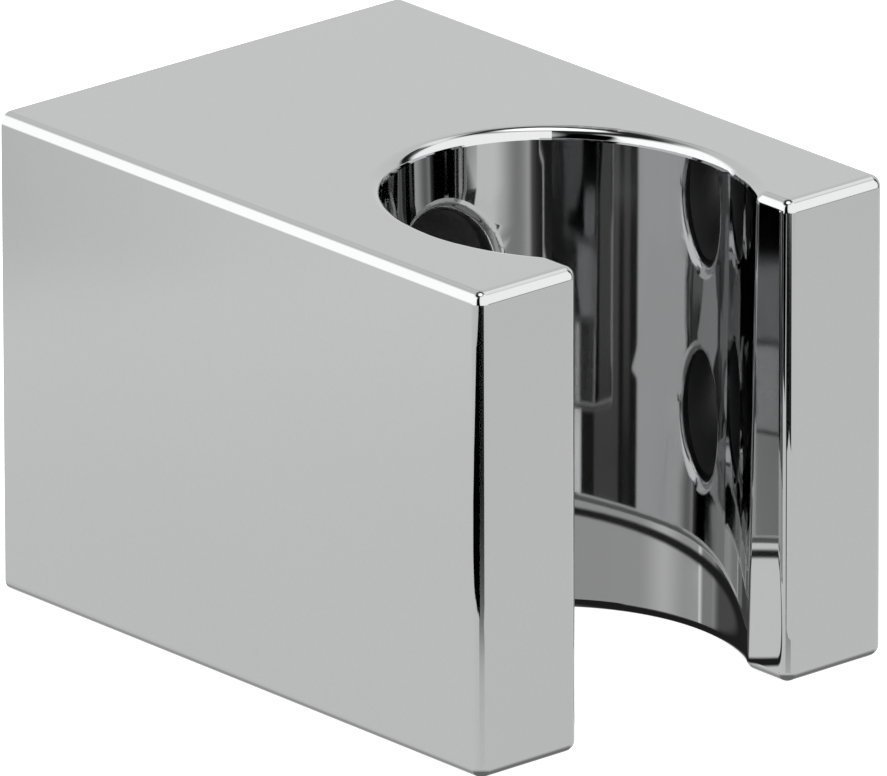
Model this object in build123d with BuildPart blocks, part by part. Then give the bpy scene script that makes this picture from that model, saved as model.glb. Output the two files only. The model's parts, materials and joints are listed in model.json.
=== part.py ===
# Wall holder for a hand shower: one chromed die casting.
#
# The block stands out from a wall. Its front is a fork, whose two horns stand
# either side of a slot. The slot opens into an upright tapered seat, which
# takes the cone on the end of the shower hose. Two screws pass through the
# back wall of the seat, one above the other, down wells in two bosses that
# run back to the wall. Round those bosses the wall side is cored out.
#
# Frame, in millimetres: X to the right, Y towards the wall, Z up. The wall is
# the plane Y = 0, and the origin is on it, midway between the two screws.

import os
from math import sqrt

from build123d import *

# Block
WIDTH = 40.0  # left to right
DEPTH = 54.0  # out from the wall
HEIGHT = 38.0  # top to bottom
EDGE_RADIUS = 0.9  # rounding of every edge that isn't at the wall

# Seat for the hose cone: oval, open at the top, the bottom and the front
SEAT_WIDTH = 26.6  # at the top
SEAT_SIDE_STEP = 2.4  # radius of the seat's sides, less half the width
SEAT_END_STEP = 1.1  # half the width, less the radius of the seat's back
SEAT_TAPER = 0.85  # degrees

# Slot between the horns, which the hose passes through
SLOT_WIDTH = 20.5
SLOT_LENGTH = 3.4  # front face to the seat, at the top

# Two fixing screws, one above the other
SCREW_SPACING = 17.0
SCREW_HOLE_DIAMETER = 5.2
SCREW_FLOOR = 4.0  # metal under the screw's head, at the wall
WELL_DIAMETER = 9.6  # room for the screw's head, open to the seat
WELL_MOUTH_RADIUS = 1.2  # rounding of the well's mouth

# Cored-out wall side
WALL = 3.0  # outer walls, and the wall round the seat
BOSS_WALL = 2.0  # round each screw well
CORE_DEPTH = 32.0  # how far the core reaches in from the wall
CORE_CORNER_RADIUS = 2.0
CORE_DRAFT = 1.0  # degrees
WEB = 2.4  # upright web that joins the bosses to each other and to the walls

# The slot meets the seat where the oval is as wide as the slot
side_radius = SEAT_WIDTH / 2 + SEAT_SIDE_STEP
slot_to_middle = sqrt(side_radius**2 - (SEAT_SIDE_STEP + SLOT_WIDTH / 2) ** 2)
seat_from_front = SLOT_LENGTH + slot_to_middle
seat_out = DEPTH - seat_from_front  # wall to the middle of the seat
seat_plane = Plane((0, -seat_out, HEIGHT / 2))
wall_plane = Plane.XZ  # facing out from the wall

with BuildSketch(seat_plane) as seat_oval:
    with Locations((SEAT_SIDE_STEP, 0)):
        Circle(side_radius)
    with Locations((-SEAT_SIDE_STEP, 0)):
        Circle(side_radius, mode=Mode.INTERSECT)
    fillet(seat_oval.vertices(), SEAT_WIDTH / 2 - SEAT_END_STEP)

# The room that the hose takes: the tapered seat and the slot in front of it
with BuildPart() as hose_room:
    extrude(seat_oval.sketch, amount=-HEIGHT, taper=SEAT_TAPER)
    with BuildSketch(wall_plane.offset(seat_out)):
        Rectangle(SLOT_WIDTH, HEIGHT)
    extrude(amount=seat_from_front)

# The core that leaves the wall side hollow, less the bosses and their web
with BuildPart() as core:
    with BuildSketch(wall_plane):
        RectangleRounded(WIDTH - 2 * WALL, HEIGHT - 2 * WALL, CORE_CORNER_RADIUS)
    extrude(amount=CORE_DEPTH, taper=CORE_DRAFT)
    with BuildSketch(seat_plane):
        add(seat_oval.sketch_local)
        offset(amount=WALL)
    extrude(amount=-HEIGHT, taper=SEAT_TAPER, mode=Mode.SUBTRACT)
    with BuildSketch(wall_plane):
        with GridLocations(0, SCREW_SPACING, 1, 2):
            Circle(WELL_DIAMETER / 2 + BOSS_WALL)
        Rectangle(WEB, HEIGHT)
    extrude(amount=CORE_DEPTH, mode=Mode.SUBTRACT)

with BuildPart() as holder_body:
    with BuildSketch(wall_plane):
        Rectangle(WIDTH, HEIGHT)
    extrude(amount=DEPTH)
    add(hose_room.part, mode=Mode.SUBTRACT)
    off_the_wall = edges().filter_by_position(Axis.Y, -DEPTH, 0, inclusive=(True, False))
    fillet(off_the_wall, EDGE_RADIUS)
    add(core.part, mode=Mode.SUBTRACT)

    # The screw wells, drilled towards the wall from the middle of the seat
    with Locations(wall_plane.offset(seat_out)):
        with GridLocations(0, SCREW_SPACING, 1, 2):
            CounterBoreHole(
                SCREW_HOLE_DIAMETER / 2, WELL_DIAMETER / 2, seat_out - SCREW_FLOOR, seat_out
            )
    well_mouths = edges(Select.LAST).sort_by(Axis.Y)[:2]
    fillet(well_mouths, WELL_MOUTH_RADIUS)

holder_body.part.label = "holder_body"
os.makedirs("parts", exist_ok=True)
export_step(holder_body.part, "parts/holder_body.step")
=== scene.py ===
"""Looks of a chromed wall holder for a hand shower, shown in a plain studio.

The holder is one die casting, polished and chromed outside and in its seat,
and left as cast in the hollow of its wall side. The studio is a pale floor
with cards on it, and a ring of soft panels, which the chrome mirrors.

Everything is in metres, in the holder's own frame: X to the right, Y towards
the wall, Z up, with the origin on the wall, midway between the two screws.
"""

from __future__ import annotations

import json
import logging
import math
from dataclasses import dataclass, field
from typing import Any, Sequence, Union

import bmesh
import bpy
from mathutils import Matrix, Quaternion, Vector

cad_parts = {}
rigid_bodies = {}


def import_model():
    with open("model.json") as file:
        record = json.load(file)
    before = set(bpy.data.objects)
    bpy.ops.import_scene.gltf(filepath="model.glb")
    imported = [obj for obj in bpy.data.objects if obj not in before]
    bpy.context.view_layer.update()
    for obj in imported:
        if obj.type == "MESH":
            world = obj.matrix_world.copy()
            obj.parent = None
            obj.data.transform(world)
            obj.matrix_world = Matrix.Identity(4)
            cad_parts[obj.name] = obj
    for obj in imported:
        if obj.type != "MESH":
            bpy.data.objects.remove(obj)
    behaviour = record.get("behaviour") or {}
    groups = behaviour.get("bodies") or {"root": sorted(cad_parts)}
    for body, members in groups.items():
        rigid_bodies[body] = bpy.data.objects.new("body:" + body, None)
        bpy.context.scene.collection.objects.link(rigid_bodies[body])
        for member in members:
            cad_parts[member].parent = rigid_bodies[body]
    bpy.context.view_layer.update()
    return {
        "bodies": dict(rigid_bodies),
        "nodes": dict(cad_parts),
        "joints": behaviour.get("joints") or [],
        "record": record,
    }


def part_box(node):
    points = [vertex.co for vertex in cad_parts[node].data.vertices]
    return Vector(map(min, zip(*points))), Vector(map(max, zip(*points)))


LOG = logging.getLogger("holder")
IMAGE_WIDTH = 887
MM = 0.001


class Signal:
    """A shader socket that can be used in Python arithmetic."""

    def __init__(self, graph: Graph, socket: bpy.types.NodeSocket) -> None:
        """Wraps a socket.

        Args:
            graph: The graph that the socket's node is in.
            socket: The output socket.
        """
        self.graph = graph
        self.socket = socket

    def math(self, operation: str, *others: Value) -> Signal:
        """Returns the result of a Math node that starts from this signal."""
        return self.graph.math(operation, self, *others)

    def __add__(self, other: Value) -> Signal:
        """Returns this plus other."""
        return self.math("ADD", other)

    __radd__ = __add__

    def __sub__(self, other: Value) -> Signal:
        """Returns this minus other."""
        return self.math("SUBTRACT", other)

    def __rsub__(self, other: Value) -> Signal:
        """Returns other minus this."""
        return self.graph.math("SUBTRACT", other, self)

    def __mul__(self, other: Value) -> Signal:
        """Returns this times other."""
        return self.math("MULTIPLY", other)

    __rmul__ = __mul__

    def __abs__(self) -> Signal:
        """Returns this without its sign."""
        return self.math("ABSOLUTE")

    def rise(self, edge: float, softness: float) -> Signal:
        """Rises smoothly from 0 to 1 as this passes an edge.

        Args:
            edge: The value at which the result is one half.
            softness: Half the width of the rise.

        Returns:
            The result, from 0 to 1.
        """
        node = self.graph.node(
            "ShaderNodeMapRange",
            {"interpolation_type": "SMOOTHSTEP"},
            {"Value": self, "From Min": edge - softness, "From Max": edge + softness},
        )
        return self.graph.out(node, "Result")


Value = Union[float, Signal]


class Graph:
    """A node tree that is written as Python expressions."""

    def __init__(self, tree: bpy.types.NodeTree) -> None:
        """Empties a node tree and takes it over."""
        tree.nodes.clear()
        self.tree = tree

    def node(
        self,
        kind: str,
        settings: dict[str, Any] | None = None,
        inputs: dict[Union[str, int], Any] | None = None,
    ) -> bpy.types.Node:
        """Adds a node.

        Args:
            kind: The node's type.
            settings: The node's own properties, set before its sockets.
            inputs: A value, a signal or a socket for each input named.

        Returns:
            The node.
        """
        made = self.tree.nodes.new(kind)
        for name, value in (settings or {}).items():
            setattr(made, name, value)
        for name, value in (inputs or {}).items():
            self.feed(made.inputs[name], value)
        return made

    def feed(self, socket: bpy.types.NodeSocket, value: Any) -> None:
        """Links a signal or a socket to an input, or sets its value.

        Args:
            socket: The input.
            value: The signal, the socket or the constant that it takes.
        """
        if isinstance(value, Signal):
            self.tree.links.new(value.socket, socket)
        elif isinstance(value, bpy.types.NodeSocket):
            self.tree.links.new(value, socket)
        else:
            socket.default_value = value

    def out(self, node: bpy.types.Node, name: Union[str, int] = 0) -> Signal:
        """Returns an output of a node as a signal."""
        return Signal(self, node.outputs[name])

    def math(self, operation: str, *values: Value) -> Signal:
        """Returns the result of a Math node on the values given."""
        inputs = dict(enumerate(values))
        return self.out(self.node("ShaderNodeMath", {"operation": operation}, inputs))

    def split(self, vector: Signal) -> tuple[Signal, Signal, Signal]:
        """Returns a vector's X, Y and Z."""
        node = self.node("ShaderNodeSeparateXYZ", None, {"Vector": vector})
        return self.out(node, "X"), self.out(node, "Y"), self.out(node, "Z")

    def place(self) -> Signal:
        """Returns the place on a piece, in metres."""
        return self.out(self.node("ShaderNodeTexCoord"), "Object")

    def noise(self, vector: Signal, size: float, detail: float = 2.0) -> Signal:
        """Returns a soft noise from 0 to 1.

        Args:
            vector: The place that it depends on.
            size: How wide its features are, in metres.
            detail: How many finer layers it has.

        Returns:
            The noise.
        """
        node = self.node(
            "ShaderNodeTexNoise", None, {"Vector": vector, "Scale": 1 / size, "Detail": detail}
        )
        return self.out(node, 0)

    def mix(self, share: Value, low: Value, high: Value) -> Signal:
        """Returns the number that lies a share of the way from low to high."""
        node = self.node("ShaderNodeMix", {"data_type": "FLOAT"}, {0: share, 2: low, 3: high})
        return self.out(node, 0)

    def tint(self, share: Value, low: Any, high: Any) -> Signal:
        """Returns the colour that lies a share of the way from low to high."""
        node = self.node("ShaderNodeMix", {"data_type": "RGBA"}, {0: share, 6: low, 7: high})
        return self.out(node, 2)


@dataclass(frozen=True)
class PhotoView:
    """The camera that took the photograph, fitted to the block's edges."""

    azimuth: float = -41.171
    elevation: float = 19.948
    roll: float = -0.152
    distance: float = 1.8189
    focal_pixels: float = 24407.0
    aim: tuple[float, float, float] = (0.0, -0.027, 0.0)
    shift_pixels: tuple[float, float] = (-1.24, -3.74)
    sensor_width: float = 36.0
    reach: float = 18.0

    def build(self, scene: bpy.types.Scene) -> bpy.types.Object:
        """Makes the scene's camera.

        Args:
            scene: The scene that takes it.

        Returns:
            The camera.
        """
        turn = math.radians(self.azimuth)
        rise = math.radians(self.elevation)
        away = Vector(
            (math.sin(turn) * math.cos(rise), -math.cos(turn) * math.cos(rise), math.sin(rise))
        )
        lens = bpy.data.cameras.new("photo_camera")
        lens.sensor_width = self.sensor_width
        lens.lens = self.focal_pixels * self.sensor_width / IMAGE_WIDTH
        lens.shift_x = -self.shift_pixels[0] / IMAGE_WIDTH
        lens.shift_y = self.shift_pixels[1] / IMAGE_WIDTH
        lens.clip_end = self.reach
        camera = bpy.data.objects.new("photo_camera", lens)
        camera.location = Vector(self.aim) + away * self.distance
        upright = away.to_track_quat("Z", "Y")
        rolled = Quaternion((0, 0, 1), math.radians(self.roll))
        camera.rotation_euler = (upright @ rolled).to_euler()
        scene.collection.objects.link(camera)
        scene.camera = camera
        return camera


@dataclass(frozen=True)
class Panel:
    """A soft panel or card round the studio, by the directions that it fills.

    Angles are in degrees. An azimuth runs from the wall side towards the
    right, and a height runs up from the horizon. A later panel hides those
    before it.

    Attributes:
        name: What the panel is.
        sides: The azimuth of its middle, its half width and its sides' blur.
        foot: The height of its lower edge, and that edge's blur.
        head: The height of its upper edge, and that edge's blur.
        level: How bright it is.
        lean: How far its middle shifts in azimuth for each degree of height.
    """

    name: str
    sides: tuple[float, float, float]
    foot: tuple[float, float]
    head: tuple[float, float]
    level: float
    lean: float = 0.0

    def mask(self, azimuth: Signal, height: Signal) -> Signal:
        """Returns 1 inside the panel and 0 outside.

        Args:
            azimuth: The direction's azimuth.
            height: The direction's elevation.

        Returns:
            The mask.
        """
        middle, half_width, blur = self.sides
        off = abs((azimuth - middle - height * self.lean).math("WRAP", 180.0, -180.0))
        inside = 1 - off.rise(half_width, blur)
        return inside * height.rise(*self.foot) * (1 - height.rise(*self.head))


@dataclass(frozen=True)
class FloorCard:
    """A flat card on the floor, which only reflections show.

    Attributes:
        name: What the card is.
        level: How bright it is.
        outline: Its corners, in millimetres.
    """

    name: str
    level: float
    outline: tuple[tuple[float, float], ...]


@dataclass(frozen=True)
class Studio:
    """The floor, and the panels and cards that the chrome mirrors.

    The panels and the cards stand where the photograph's light and dark areas
    ask for them, as seen by the photograph's camera.

    Attributes:
        floor_height: The height of the holder's underside.
        room_level: How bright the room is where no panel is.
        panels: The panels, each over those before it.
        floor_half: Half the floor's width.
        floor_colour: The floor's colour.
        floor_glow: The light that lifts the floor to white for the camera.
        card_lift: How far above the floor the cards lie.
        floor_cards: The cards.
        shadow_middle: The middle of the ring along the foot of the seat.
        shadow_radius: The radius of the ring's own middle line.
        shadow_half_width: Half the ring's width.
        shadow_blur: How soft the ring's edges are.
        shadow_level: How bright the ring is.
        shadow_sides: How many sides its outline has.
        shadow_depth: The ring shows to rays of less than this depth.
    """

    floor_height: float
    room_level: float = 0.03
    panels: tuple[Panel, ...] = (
        Panel("table", (0, 200, 1), (-100, 1), (-17, 3), 0.85),
        Panel("table_left", (-41, 40, 20), (-100, 1), (-17, 3), 0.88),
        Panel("left_glow", (-41, 12, 4), (-19.8, 0.6), (-17, 1), 1.02),
        Panel("underside", (0, 200, 1), (-100, 1), (-42, 12), 0.22),
        Panel("backdrop", (38, 66, 8), (-24, 4), (53, 12), 0.88),
        Panel("front_low", (172, 40, 4), (-19, 1), (-11, 3), 0.84),
        Panel("left_panel", (-60, 42, 8), (-14, 5), (50, 8), 1.75),
        Panel("front_panel", (172, 57, 6), (-13, 5), (68, 8), 1.5),
        Panel("upper_right", (92, 24, 6), (46, 4), (60, 6), 1.3),
        Panel("grey_band", (35, 6, 4), (34, 3), (50, 5), 0.5),
        Panel("ceiling", (0, 200, 1), (74, 5), (100, 1), 2.2),
        Panel("left_card", (-120, 14, 3), (-10, 2), (46, 4), 0.0, lean=0.25),
        Panel("left_foot", (-126, 24, 2), (-19.45, 0.1), (-8, 2), 0.0),
        Panel("left_slit", (-118, 4.8, 0.8), (-16.9, 0.1), (-15.5, 0.3), 0.27),
        Panel("foot_fade", (-159, 9, 9), (-18.8, 0.4), (-12, 4), 0.3),
        Panel("far_foot", (163, 8.5, 1), (-19.3, 0.2), (-17.9, 0.1), 0.02),
        Panel("window", (-84, 42.4, 1), (-19.45, 0.1), (-18.15, 0.1), 0.45),
        Panel("window_glow", (-68, 8, 9), (-19.4, 0.1), (-18.15, 0.1), 0.68),
        Panel("dim", (-5, 25, 9), (-30, 3), (-17, 2), 0.1),
        Panel("dim_start", (-34, 5.5, 2), (-19.7, 0.1), (-18.5, 0.5), 0.3),
        Panel("corner_foot", (-146, 25, 1.5), (-20.53, 0.03), (-19.45, 0.1), 0.0),
        Panel("left_gap", (-53, 8, 2), (-15.6, 0.2), (-14.4, 0.3), 0.06),
        Panel("left_line", (-51.5, 1.3, 0.5), (-15.6, 0.2), (-14.4, 0.3), 1.3),
        Panel("flank_low", (-86, 6, 2), (-17.3, 0.3), (-16.2, 0.2), 0.9),
        Panel("flank_high", (57, 5, 2), (-15.4, 0.3), (-14.4, 0.3), 1.0),
        Panel("right_card", (111, 5, 3), (-18.4, 0.6), (44, 3), 0.02, lean=-0.3),
        Panel("right_foot", (121, 22.2, 1.4), (-18.2, 0.2), (-16, 0.2), 0.02),
        Panel("right_brow", (140.5, 3.4, 0.4), (-13.7, 0.2), (-12.1, 0.2), 0.02),
        Panel("right_window", (119, 9.5, 1.2), (-17.3, 0.2), (-15.6, 0.4), 0.14),
        Panel("right_slit", (134.8, 2.4, 1.2), (-16.9, 0.2), (-15.6, 0.4), 0.13),
        Panel("right_glow", (130, 17, 1.5), (-16.05, 0.1), (-14.6, 0.3), 0.42),
        Panel("right_toe", (127, 8, 2), (-19.2, 0.2), (-18.2, 0.1), 0.46),
        Panel("right_line", (96, 2.6, 1.4), (-17.3, 0.2), (-16.75, 0.1), 1.5),
    )
    floor_half: float = 6.0
    floor_colour: tuple[float, float, float, float] = (0.9, 0.9, 0.9, 1.0)
    floor_glow: float = 0.8
    card_lift: float = 0.0002
    floor_cards: tuple[FloorCard, ...] = (
        FloorCard(
            "pale_sheet",
            0.85,
            ((2, -61), (-27.8, -85.6), (-17, -101), (1.4, -103.2), (26, -100), (14, -64)),
        ),
        FloorCard(
            "dark_leaf",
            0.0,
            (
                (-105, -119),
                (-107.9, -106.8),
                (-110, -92.2),
                (-112.7, -63.7),
                (-101.3, -46.9),
                (-86.5, -31.1),
                (-71.2, -24.4),
                (-61.1, -29.3),
                (-58.2, -38.2),
                (-57, -54.6),
                (-51.2, -68.5),
                (-45.8, -74.5),
            ),
        ),
    )
    shadow_middle: tuple[float, float] = (0.001, -0.0406)
    shadow_radius: float = 0.0116
    shadow_half_width: float = 0.0009
    shadow_blur: float = 0.0004
    shadow_level: float = 0.02
    shadow_sides: int = 48
    shadow_depth: float = 1.5

    def build(self, scene: bpy.types.Scene) -> None:
        """Builds the world, the floor and what lies on it.

        Args:
            scene: The scene that takes them.
        """
        self.build_world(scene)
        self.build_floor(scene)
        for card in self.floor_cards:
            self.build_card(scene, card)
        self.build_seat_shadow(scene)

    def build_world(self, scene: bpy.types.Scene) -> None:
        """Lights the scene with the panels, and shows the camera a white background.

        Args:
            scene: The scene that takes the world.
        """
        world = bpy.data.worlds.new("studio")
        scene.world = world
        world.use_nodes = True
        graph = Graph(world.node_tree)
        direction = graph.out(graph.node("ShaderNodeTexCoord"), "Generated")
        east, north, up = graph.split(direction)
        azimuth = graph.math("ARCTAN2", east, north) * math.degrees(1)
        level_length = graph.math("SQRT", east * east + north * north)
        height = graph.math("ARCTAN2", up, level_length) * math.degrees(1)
        light: Value = self.room_level
        for panel in self.panels:
            over = graph.mix(panel.mask(azimuth, height), light, panel.level)
            over.socket.node.label = panel.name
            light = over
        seen = graph.out(graph.node("ShaderNodeLightPath"), "Is Camera Ray")
        background = graph.node(
            "ShaderNodeBackground",
            None,
            {"Color": (1.0, 1.0, 1.0, 1.0), "Strength": graph.mix(seen, light, 1.0)},
        )
        graph.node("ShaderNodeOutputWorld", None, {"Surface": background.outputs[0]})

    def build_floor(self, scene: bpy.types.Scene) -> None:
        """Lays the pale floor, which can be seen through from below.

        Args:
            scene: The scene that takes it.
        """
        material = bpy.data.materials.new("pale_floor")
        material.use_nodes = True
        graph = Graph(material.node_tree)
        path = graph.node("ShaderNodeLightPath")
        sheet = graph.node("ShaderNodeBsdfDiffuse", None, {"Color": self.floor_colour})
        glow = graph.node("ShaderNodeEmission", None, {"Strength": self.floor_glow})
        seen = graph.node("ShaderNodeAddShader", None, {0: sheet.outputs[0], 1: glow.outputs[0]})
        share = graph.out(path, "Is Camera Ray")
        lit = graph.node(
            "ShaderNodeMixShader", None, {0: share, 1: sheet.outputs[0], 2: seen.outputs[0]}
        )
        clear = graph.node("ShaderNodeBsdfTransparent")
        under = graph.out(graph.node("ShaderNodeNewGeometry"), "Backfacing")
        whole = graph.node(
            "ShaderNodeMixShader", None, {0: under, 1: lit.outputs[0], 2: clear.outputs[0]}
        )
        graph.node("ShaderNodeOutputMaterial", None, {"Surface": whole.outputs[0]})
        shape = bmesh.new()
        bmesh.ops.create_grid(shape, x_segments=1, y_segments=1, size=self.floor_half)
        bmesh.ops.translate(shape, verts=shape.verts, vec=(0.0, 0.0, self.floor_height))
        floor = finish_mesh(scene, shape, "floor", material)
        floor.visible_glossy = False

    def build_card(self, scene: bpy.types.Scene, card: FloorCard) -> None:
        """Lays a card on the floor.

        Args:
            scene: The scene that takes it.
            card: The card.
        """
        material = bpy.data.materials.new(card.name)
        material.use_nodes = True
        graph = Graph(material.node_tree)
        glow = graph.node("ShaderNodeEmission", None, {"Strength": card.level})
        graph.node("ShaderNodeOutputMaterial", None, {"Surface": glow.outputs[0]})
        shape = bmesh.new()
        height = self.floor_height + self.card_lift
        shape.faces.new([shape.verts.new((x * MM, y * MM, height)) for x, y in card.outline])
        self.lay(finish_mesh(scene, shape, card.name, material))

    def build_seat_shadow(self, scene: bpy.types.Scene) -> None:
        """Lays the dark ring along the foot of the seat, for the first reflection alone.

        Args:
            scene: The scene that takes it.
        """
        material = bpy.data.materials.new("seat_shadow")
        material.use_nodes = True
        graph = Graph(material.node_tree)
        x, y, _ = graph.split(graph.place())
        across = x - self.shadow_middle[0]
        along = y - self.shadow_middle[1]
        off = abs(graph.math("SQRT", across * across + along * along) - self.shadow_radius)
        ring = 1 - off.rise(self.shadow_half_width, self.shadow_blur)
        depth = graph.out(graph.node("ShaderNodeLightPath"), "Ray Depth")
        first = graph.math("LESS_THAN", depth, self.shadow_depth)
        clear = graph.node("ShaderNodeBsdfTransparent")
        dark = graph.node("ShaderNodeEmission", None, {"Strength": self.shadow_level})
        whole = graph.node(
            "ShaderNodeMixShader", None, {0: ring * first, 1: clear.outputs[0], 2: dark.outputs[0]}
        )
        graph.node("ShaderNodeOutputMaterial", None, {"Surface": whole.outputs[0]})
        shape = bmesh.new()
        reach = self.shadow_radius + self.shadow_half_width + self.shadow_blur
        bmesh.ops.create_circle(shape, cap_ends=True, segments=self.shadow_sides, radius=reach)
        height = self.floor_height + self.card_lift
        bmesh.ops.translate(shape, verts=shape.verts, vec=(*self.shadow_middle, height))
        self.lay(finish_mesh(scene, shape, "seat_shadow", material))

    def lay(self, card: bpy.types.Object) -> None:
        """Hides a card from all but reflections.

        Args:
            card: The card's object.
        """
        card.visible_camera = False
        card.visible_diffuse = False
        card.visible_shadow = False


@dataclass(frozen=True)
class ChromeFinish:
    """Polished chrome outside and in the seat, and dull casting in the hollow.

    Attributes:
        dark_plating: The chrome's colour where it is darkest.
        light_plating: The chrome's colour where it is lightest.
        plating_grain: The size of the fine grain in that colour.
        plating_cloud: The size of the broad drift in that colour.
        roughness: The chrome's roughness.
        wave_size: How far apart the polishing waves are.
        wave_height: How high they are.
        wave_detail: How many finer layers they have.
        cast_colour: The bare casting's colour.
        cast_roughness: The bare casting's roughness, where it is least.
        cast_roughness_swing: How much it rises with the grain.
        cast_grain: The size of the casting's grain.
        cast_grain_height: How high that grain is.
        cast_grain_detail: How many finer layers it has.
        rim: The casting's outline to where the hollow's finish starts.
        hollow_depth: How far the hollow's finish reaches in from the wall.
        seat_out: The wall to the middle of the seat.
        seat_half_stretch: Half the seat's length less half its width.
        seat_clear: How far from the seat's middle line the hollow starts.
        edge_softness: Half the width of the change between the finishes.
    """

    dark_plating: tuple[float, float, float, float] = (0.530, 0.533, 0.536, 1.0)
    light_plating: tuple[float, float, float, float] = (0.570, 0.573, 0.576, 1.0)
    plating_grain: float = 0.0003
    plating_cloud: float = 0.03
    roughness: float = 0.035
    wave_size: float = 0.014
    wave_height: float = 0.000004
    wave_detail: float = 1.0
    cast_colour: tuple[float, float, float, float] = (0.40, 0.40, 0.41, 1.0)
    cast_roughness: float = 0.42
    cast_roughness_swing: float = 0.12
    cast_grain: float = 0.0009
    cast_grain_height: float = 0.00006
    cast_grain_detail: float = 3.0
    rim: float = 0.0029
    hollow_depth: float = 0.0325
    seat_out: float = 0.0413
    seat_half_stretch: float = 0.00145
    seat_clear: float = 0.0146
    edge_softness: float = 0.0002

    def build(self, corner: Vector) -> bpy.types.Material:
        """Makes the material.

        Args:
            corner: The casting's upper right corner, at the wall.

        Returns:
            The material.
        """
        material = bpy.data.materials.new("polished_chrome")
        material.use_nodes = True
        graph = Graph(material.node_tree)
        place = graph.place()
        hollow = self.hollow(graph, place, corner)
        grain = graph.noise(place, self.cast_grain, self.cast_grain_detail)
        waves = graph.noise(place, self.wave_size, self.wave_detail)
        speckle = graph.noise(place, self.plating_grain) + graph.noise(place, self.plating_cloud)
        plating = graph.tint(speckle * 0.5, self.dark_plating, self.light_plating)
        colour = graph.tint(hollow, plating, self.cast_colour)
        cast_rough = self.cast_roughness + self.cast_roughness_swing * grain
        rough = graph.mix(hollow, self.roughness, cast_rough)
        height = graph.mix(hollow, waves * self.wave_height, grain * self.cast_grain_height)
        bump = graph.node("ShaderNodeBump", None, {"Height": height, "Distance": 1.0})
        chrome = graph.node(
            "ShaderNodeBsdfPrincipled",
            None,
            {
                "Base Color": colour,
                "Metallic": 1.0,
                "Roughness": rough,
                "Normal": bump.outputs[0],
            },
        )
        graph.node("ShaderNodeOutputMaterial", None, {"Surface": chrome.outputs[0]})
        return material

    def hollow(self, graph: Graph, place: Signal, corner: Vector) -> Signal:
        """Finds the surfaces inside the hollow and down the screw wells.

        Args:
            graph: The material's graph.
            place: The place on the casting.
            corner: The casting's upper right corner, at the wall.

        Returns:
            1 on those surfaces and 0 elsewhere.
        """
        x, y, z = graph.split(place)
        soft = self.edge_softness
        inside = 1 - abs(x).rise(corner.x - self.rim, soft)
        inside = inside * (1 - abs(z).rise(corner.z - self.rim, soft))
        inside = inside * y.rise(-self.hollow_depth, soft)
        inside = inside * (1 - y.rise(-2 * soft, soft))
        along = graph.math("MAXIMUM", abs(y + self.seat_out) - self.seat_half_stretch, 0.0)
        reach = graph.math("SQRT", x * x + along * along)
        return inside * reach.rise(self.seat_clear, soft)


def finish_mesh(
    scene: bpy.types.Scene, shape: bmesh.types.BMesh, name: str, material: bpy.types.Material
) -> bpy.types.Object:
    """Turns a bmesh into an object at the origin.

    Args:
        scene: The scene that takes it.
        shape: The bmesh, which is freed.
        name: The object's name.
        material: The object's one material.

    Returns:
        The object.
    """
    mesh = bpy.data.meshes.new(name)
    shape.to_mesh(mesh)
    shape.free()
    mesh.materials.append(material)
    made = bpy.data.objects.new(name, mesh)
    scene.collection.objects.link(made)
    LOG.info("%s: %d faces", name, len(mesh.polygons))
    return made


@dataclass
class HolderBody:
    """The chromed casting, which is the whole object."""

    finish: ChromeFinish = field(default_factory=ChromeFinish)
    node: str = "holder_body"

    def dress(self, frame: dict[str, Any]) -> None:
        """Gives the casting its finish.

        Args:
            frame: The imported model, as loaded.
        """
        body = frame["nodes"][self.node]
        _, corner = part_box(self.node)
        body.material_slots[0].material = self.finish.build(corner)
        LOG.info("%s: %d faces", self.node, len(body.data.polygons))


def main() -> None:
    """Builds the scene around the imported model."""
    logging.basicConfig(level=logging.INFO, format="%(name)s %(message)s")
    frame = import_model()
    scene = bpy.context.scene
    scene.view_settings.view_transform = "Standard"
    holder = HolderBody()
    low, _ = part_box(holder.node)
    holder.dress(frame)
    Studio(floor_height=low.z).build(scene)
    PhotoView().build(scene)


if __name__ == "__main__":
    main()
